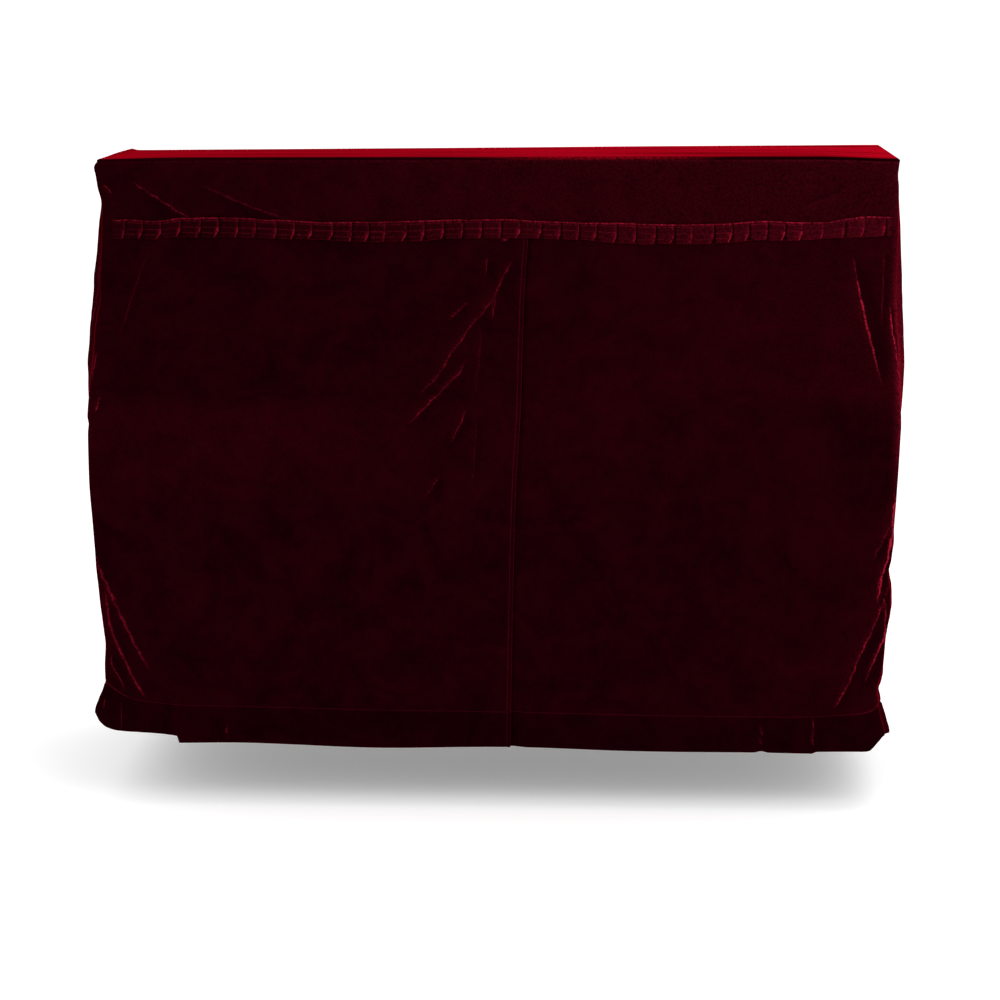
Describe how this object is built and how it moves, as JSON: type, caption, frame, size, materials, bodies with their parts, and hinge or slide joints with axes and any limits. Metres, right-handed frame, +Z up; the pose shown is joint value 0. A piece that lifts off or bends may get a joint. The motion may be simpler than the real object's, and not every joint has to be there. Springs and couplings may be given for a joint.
{
  "type": "piano cover",
  "caption": "Fitted velvet cover for an upright piano, with a flat top, a pleated band across the front and front curtains that overlap near the middle.",
  "frame": {"origin": "middle of the top panel's underside, where the cover lies on the piano's lid", "axes": "+X to the right as seen from the front, -Y to the front, +Z up"},
  "size_m": [1.5229, 0.6309, 1.0725],
  "materials": {
    "velvet": "deep wine red pile velvet, near black seen face on and crimson where its pile is seen at a slant"
  },
  "bodies": {
    "root": {"top_panel": "velvet", "front_yoke": "velvet", "pleated_band": "velvet", "curtain_left": "velvet", "curtain_right": "velvet", "side_left": "velvet", "side_right": "velvet", "back_panel": "velvet"}
  },
  "joints": []
}
